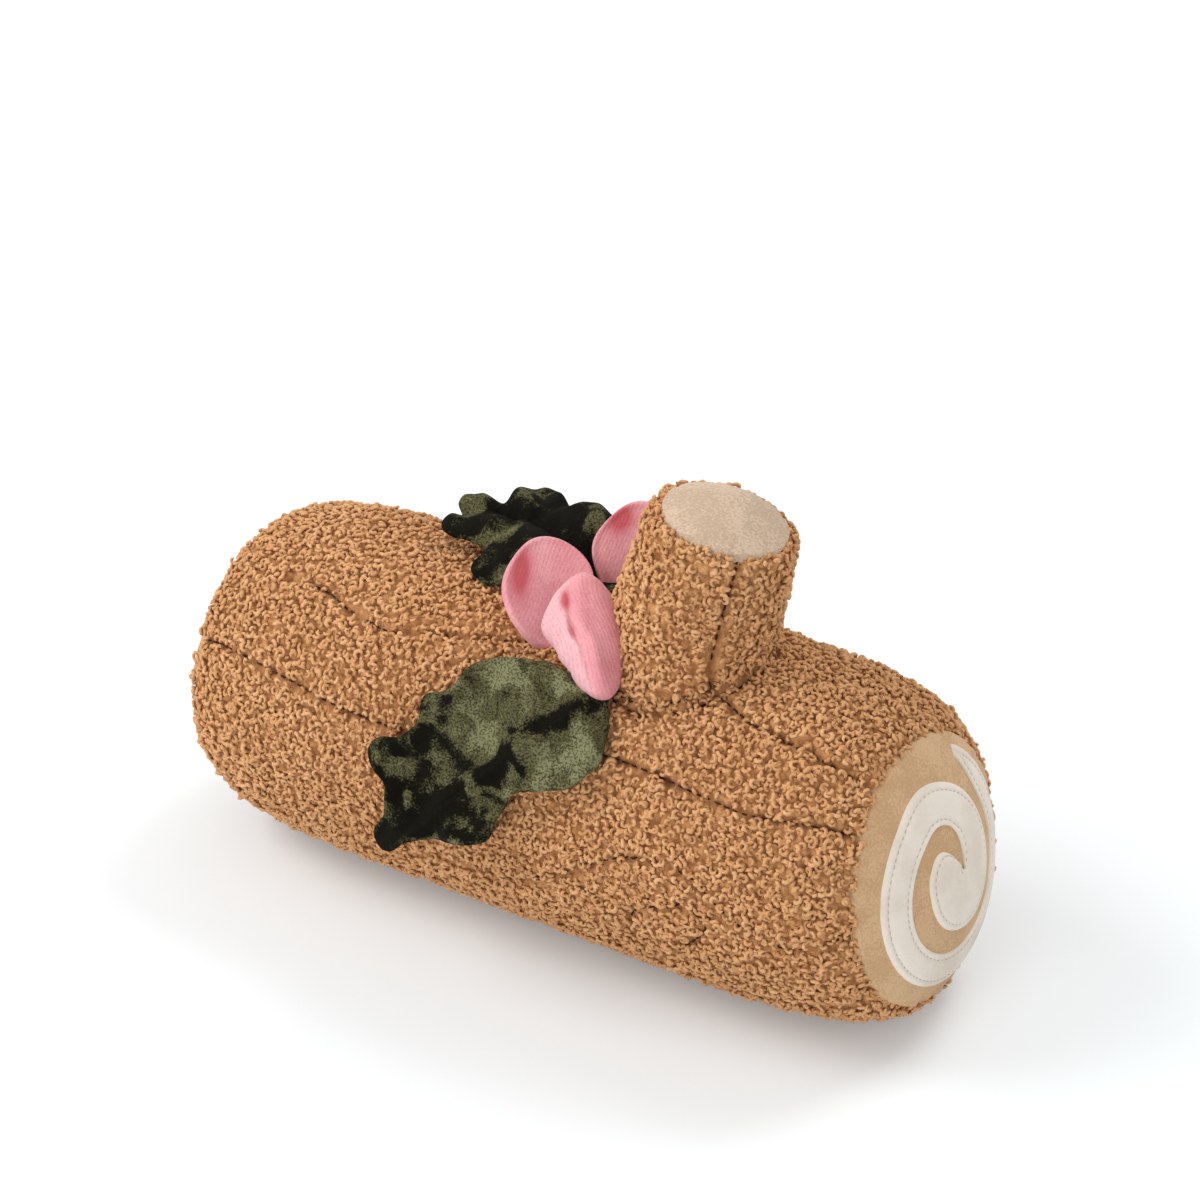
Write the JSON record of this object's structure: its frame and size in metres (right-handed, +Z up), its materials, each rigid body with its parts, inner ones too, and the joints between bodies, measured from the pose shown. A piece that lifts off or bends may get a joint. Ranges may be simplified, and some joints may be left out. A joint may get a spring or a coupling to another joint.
{
  "type": "plush yule log",
  "caption": "Stuffed plush toy shaped like a yule log cake: a boucle log with spiral ends, a branch stump, padded holly leaves and pink berries.",
  "frame": {"origin": "centre of the flattened strip that the log rests on", "axes": "+X along the log towards the near end, -Y towards the front, where the front leaf hangs, +Z up towards the stump"},
  "size_m": [0.3967, 0.1766, 0.2289],
  "materials": {
    "boucle": "curly caramel boucle",
    "suede": "short-napped tan microsuede",
    "cap_suede": "short-napped light beige microsuede",
    "cotton": "off-white plain-weave cotton with topstitching",
    "velvet": "crushed dark green velvet",
    "ribbed_velvet": "ribbed pink velvet with a crimson shade",
    "thread": "dark brown sewing thread"
  },
  "bodies": {
    "root": {"log_body": "boucle", "end_disc_near": "suede", "end_disc_far": "suede", "spiral_near": "cotton", "spiral_far": "cotton", "stump": "boucle", "stump_cap": "cap_suede", "leaf_front": "velvet", "leaf_back": "velvet", "berry_front": "ribbed_velvet", "berry_left": "ribbed_velvet", "berry_back": "ribbed_velvet"}
  },
  "joints": []
}
